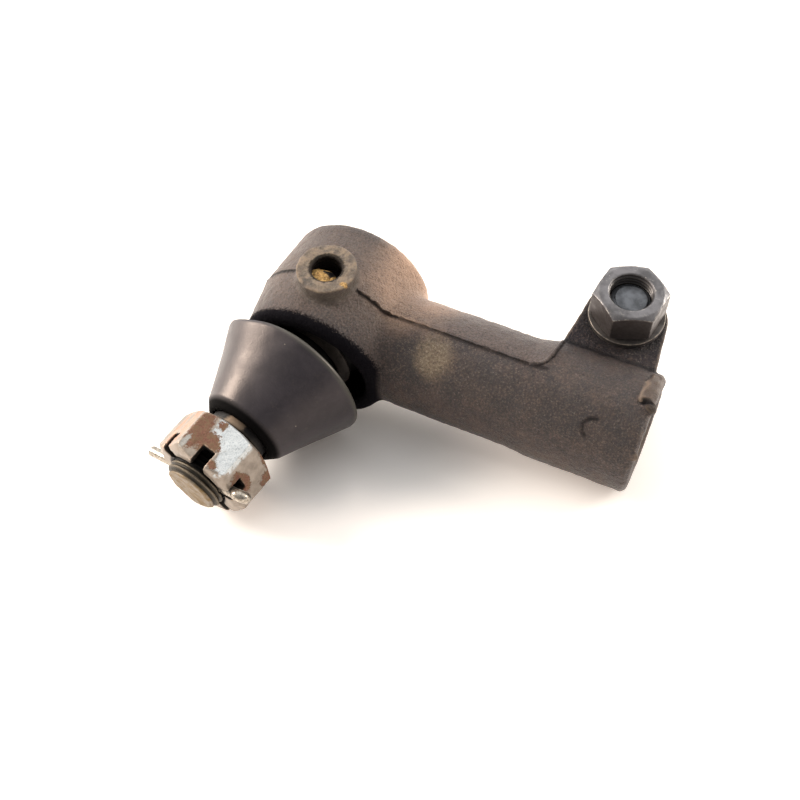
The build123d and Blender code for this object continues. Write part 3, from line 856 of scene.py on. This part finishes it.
# The crown line runs along the shank, bends, and climbs the barrel in front of the clamp's ear
shank_line = [[x, 0, SHANK_TOP] for x in np.linspace(-78, -36, 21)]
bend = [[-34.5, 0.0, 16.6], [-32.8, 0.5, 16.85], [-31.5, 2.0, 17.0], [-30.8, 4.2, 16.85]]
climb = []
for x, y in ((-30.5, 7), (-30.3, 9.5), (-30.3, 12), (-30.4, 13.2)):
    climb.append([x, y, sqrt(BARREL_R**2 - (y - BARREL_SHIFT) ** 2) - 0.1])
crown_line = [*shank_line, *bend, *climb]
straight = len(shank_line) + 2
outward = [[0, 0, 1]] * straight
outward += [[-0.3, (y - BARREL_SHIFT) / BARREL_R, 0.9] for x, y, z in crown_line[straight:]]
flash("flash_shank", crown_line[:straight], outward[:straight], 0.75, 0.26, 0.9, 12)
flash("flash_climb", crown_line[straight - 3 :], outward[straight - 3 :], 1.5, 0.95, 0.1, 15, (0.7, -0.4, 0))

for name, turns, radius, width, height, seed in (
    ("flash_left", (112, 148), HEAD_R, 0.7, 0.2, 14),
    ("flash_far", (150, 184), HEAD_R - 0.05, 0.8, 0.25, 19),
):
    arc, arc_out = head_arc(*turns, radius=radius)
    flash(name, arc, arc_out, width, height, 0.8, seed)
arc, arc_out = head_arc(178, 44, 40, side=-1)
flash("flash_under_head", arc, arc_out, 1.0, 0.3, 1.0, 16)
under_line = [[x, 0, -SHANK_TOP] for x in np.linspace(-77, -34, 20)]
flash("flash_under", under_line, [[0, 0, -1]] * 20, 0.9, 0.28, 1.0, 17)
barrel_line = [[-34, 0, -16.6], [-29, 0, -BARREL_R], [-3, 0, -BARREL_R]]
flash("flash_under_barrel", barrel_line, [[0, 0, -1]] * 3, 0.9, 0.3, 1.0, 18)


# ---------------------------------------------------------------- stud and nuts


def outward_from(points, origin, axis):
    """Unit vectors straight out from an axis."""
    q = points - origin
    flat = q - np.outer(q @ axis, axis)
    return flat / np.maximum(np.linalg.norm(flat, axis=1), 1)[:, None]


def work_stud(points, normals):
    """Cuts the stud's thread and dents its end face a little."""
    along, radius, turn = around(points, BALL, STUD, COTTER)
    threaded = ease(along, STUD_THREAD_START, STUD_THREAD_START + 1) * (along < STUD_TIP + 0.1)
    threaded = threaded * (radius > 7.4)
    cut = thread(along, turn, STUD_THREAD_PITCH, STUD_THREAD_DEPTH) * threaded
    end_face = (along > STUD_TIP) * (0.12 * noise(points, 2.2, 4, 2))
    moved = points - outward_from(points, BALL, STUD) * cut[:, None] + normals * end_face[:, None]
    return moved, {"groove": cut / STUD_THREAD_DEPTH}


def work_castle(points, normals):
    """Pits the castle nut, and marks its slots' walls so that they are painted dark as shade."""
    pits = 0.05 * noise(points, 0.8, 21, 2) + 0.09 * noise(points, 3, 22, 2)
    along, radius, turn = around(points, BALL, STUD, COTTER)
    side = np.abs(radius * np.sin((turn + pi / 6) % (pi / 3) - pi / 6))
    slot = ease(side, 2.35, 2.1) * ease(along, 58.4, 58.8) * ease(radius, 13.6, 13.0)
    return points + normals * pits[:, None], {"slot": slot}


def work_clamp_nut(points, normals):
    """Cuts the clamp nut's thread and dings the rest of it."""
    along, radius, turn = around(points, BOLT_FOOT, UP, np.array([1.0, 0, 0]))
    bore = (radius < 6.7) * (np.abs(normals[:, 2]) < 0.75)
    fade = ease(along, 12.8, 13.6) * ease(along, 23.0, 22.3)
    cut = bore * fade * thread(along, turn, BOLT_PITCH, BOLT_THREAD_DEPTH)
    dings = 0.03 * noise(points, 1.0, 31, 2) + 0.05 * noise(points, 3.5, 32)
    moved = points + outward_from(points, BOLT_FOOT, UP) * cut[:, None]
    return moved + normals * (dings * (1 - bore))[:, None], {}


def work_bolt(points, normals):
    """Cuts the clamp bolt's thread."""
    along, radius, turn = around(points, BOLT_FOOT, UP, np.array([1.0, 0, 0]))
    threaded = (along > -4) * (along < 20.1) * (radius > 4.6)
    cut = threaded * thread(along, turn, BOLT_PITCH, BOLT_THREAD_DEPTH)
    moved = points - outward_from(points, BOLT_FOOT, UP) * cut[:, None]
    return moved + normals * (0.03 * noise(points, 1.6, 33, 2))[:, None], {}


def dinged(points, normals):
    """A plain piece's small dents."""
    return points + normals * (0.04 * noise(points, 1.8, 41, 2))[:, None], {}


skin("ball_stud", 0.3, 2, "stud", "stud_steel", STUD_STEEL, work_stud, 0.2)
skin("castle_nut", 0.22, 5, "stud", "castle_zinc", CASTLE, work_castle, 0.16)
skin("clamp_nut", 0.18, 4, "housing", "nut_steel", NUT_STEEL, work_clamp_nut, 0.12)
skin("clamp_bolt", 0.25, 3, "housing", "bolt_steel", BOLT_STEEL, work_bolt, 0.14)
skin("nut_washer", 0.16, 3, "housing", "washer_steel", CLAMP_WASHER, dinged, 0.1)
skin("bolt_washer", 0.2, 3, "housing", "washer_steel", CLAMP_WASHER, dinged, 0.1)
skin("cotter_pin", 0.12, 3, "stud", "cotter_steel", WIRE, None, 0.1)
skin("dust_washer", 0.2, 2, "boot", "dust_washer_steel", WASHER_STEEL, dinged, 0.1)
skin("cover_plate", 0.3, 3, "housing", "cover_steel", COVER_STEEL, dinged, 0.15)
for name, slot, material in (
    ("front_seat", "seat_steel", SEAT_STEEL),
    ("rear_seat", "seat_steel", SEAT_STEEL),
    ("disc_spring_1", "spring_steel", SPRING_STEEL),
    ("disc_spring_2", "spring_steel", SPRING_STEEL),
):
    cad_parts[name].data.materials.clear()
    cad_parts[name].data.materials.append(material)


# ---------------------------------------------------------------- dust boot


def between(start, stop, first, count):
    """Points along a straight line, from a first part of the way to its end."""
    return [tuple(a + (b - a) * t for a, b in zip(start, stop)) for t in np.linspace(first, 1, count)]


def boot():
    """The rubber cone, turned from one profile, its lip pressed back on the far side."""
    lip = [(19.5, 20.9), (20.2, BOOT_MOUTH), (22.9, BOOT_MOUTH), (23.45, 20.9)]
    cone = [(BOOT_MOUTH_R, 21.7), (BOOT_NECK_R, BOOT_NECK)]
    end = [(13.5, 43.4), (13.2, 43.75), (12.4, 44.6), (11.7, 45.4), (11.3, 45.9), (10.8, 46.15), (10.1, 46.2)]
    hole = [(BOOT_HOLE_R, 45.9), (BOOT_HOLE_R, 42.8), (11.2, 42.5)]
    throat = [(BOOT_NECK_INSIDE_R, 42.0), (BOOT_MOUTH_INSIDE_R, 21.5)]
    corners = [*lip, cone[0], *between(*cone, 0.03, 60), *end, *hole, throat[0], *between(*throat, 0.05, 24)]
    profile = np.array(corners)
    turns = np.linspace(0, 2 * pi, 240, endpoint=False)
    radial = np.outer(np.cos(turns), SIDE) + np.outer(np.sin(turns), UP)
    rows = []
    for radius, along in profile:
        from_far_side = turns - radians(128)
        toward = np.degrees(np.arctan2(np.sin(from_far_side), np.cos(from_far_side)))
        pressed = 2.0 * np.exp(-((toward / 34) ** 2)) * ease(along, 32.0, BOOT_MOUTH)
        ring = BALL + np.outer(along + pressed, STUD) + radial * radius
        swell = 0.16 * noise(ring, 11, 51) + 0.05 * noise(ring, 3.5, 52)
        rows.append(ring + radial * (swell * (radius > 12.5))[:, None])
    mesh = grid_mesh("dust_boot_skin", np.array(rows), True, True, RUBBER)
    return new_object("dust_boot_skin", mesh, "boot", "boot_rubber", "dust_boot")


boot()


# ---------------------------------------------------------------- table, light and camera


table_up = TABLE_UP / np.linalg.norm(TABLE_UP)
back = np.cross(table_up, TABLE_RIGHT)
foot = MIDDLE - table_up * (MIDDLE @ table_up + TABLE_DROP)


def sheet(name, centre, across, along, size, material):
    """A square in the row's own coordinates, so that a material can tell places on it."""
    mesh = bpy.data.meshes.new(name)
    signs = ((-1, -1), (1, -1), (1, 1), (-1, 1))
    corners = [centre + size / 2 * (a * across + b * along) for a, b in signs]
    mesh.from_pydata((np.array(corners) * MM).tolist(), [], [(0, 1, 2, 3)])
    mesh.materials.append(material)
    return new_object(name, mesh, None, None)


def table_paint():
    """Pale matt paint with a faint glow, which fades under the part so that its shadow stays dark there."""
    p = Paint("table")
    p.shader.inputs["Emission Color"].default_value = (1.0, 0.84, 0.72, 1.0)
    under_shank = p.blob((-84, -22, -19), (44, 22, 22), 0.69)
    under_boot = p.blob((-90, -36, -17), (20, 19, 22), 0.69)
    glow = p.span(p.any_of(under_shank, under_boot), 0.0, 1.0, 0.4, 0.06)
    p.feed(p.shader.inputs["Emission Strength"], glow)
    return p.finish(linear(250, 247, 243), 0.9, 0.0, None, 0.1)


floor = sheet("table", foot, np.cross(back, table_up), back, TABLE_SIZE, table_paint())


def add_camera():
    """The camera at the photograph's place and angle, in metres."""
    data = bpy.data.cameras.new("camera")
    data.lens = 48.73
    data.sensor_width = 36.0
    data.clip_start = 0.01
    camera = bpy.data.objects.new("camera", data)
    camera.rotation_mode = "QUATERNION"
    camera.rotation_quaternion = Quaternion((0.94114, 0.25928, 0.07771, 0.20246))
    camera.location = (0.01072, -0.16064, 0.26933)
    bpy.context.scene.collection.objects.link(camera)
    bpy.context.scene.camera = camera


add_camera()


def lamp(name, aside, behind, above, size, power, color):
    """A square softbox, placed from the object by the table's directions, in metres."""
    data = bpy.data.lights.new(name, "AREA")
    data.size = size
    data.energy = power
    data.color = color
    obj = bpy.data.objects.new(name, data)
    bpy.context.scene.collection.objects.link(obj)
    target = MIDDLE * MM
    place = target + aside * TABLE_RIGHT + behind * back + above * table_up
    obj.location = Vector(place)
    obj.rotation_euler = Vector(place - target).to_track_quat("Z", "Y").to_euler()


lamp("left_box", -0.62, 0.16, 0.34, 0.30, 6.4, (1.0, 0.91, 0.82))
lamp("right_box", 0.64, 0.18, 0.24, 0.28, 3.3, (1.0, 0.94, 0.86))


def room():
    """A pale room, brighter overhead and behind the part than in front of it."""
    world = bpy.data.worlds.new("room")
    bpy.context.scene.world = world
    world.use_nodes = True
    nodes = world.node_tree.nodes
    links = world.node_tree.links
    coordinates = nodes.new("ShaderNodeTexCoord")
    height = nodes.new("ShaderNodeVectorMath")
    height.operation = "DOT_PRODUCT"
    height.inputs[1].default_value = tuple(0.85 * back + 0.35 * table_up)
    links.new(coordinates.outputs["Generated"], height.inputs[0])
    strength = nodes.new("ShaderNodeMapRange")
    strength.interpolation_type = "SMOOTHSTEP"
    for key, value in (("From Min", -0.5), ("From Max", 0.85), ("To Min", 0.24), ("To Max", 1.5)):
        strength.inputs[key].default_value = value
    links.new(height.outputs["Value"], strength.inputs["Value"])
    links.new(strength.outputs["Result"], nodes["Background"].inputs["Strength"])
    nodes["Background"].inputs["Color"].default_value = (0.98, 0.99, 1.0, 1.0)


room()
bpy.context.scene.view_settings.view_transform = "Standard"
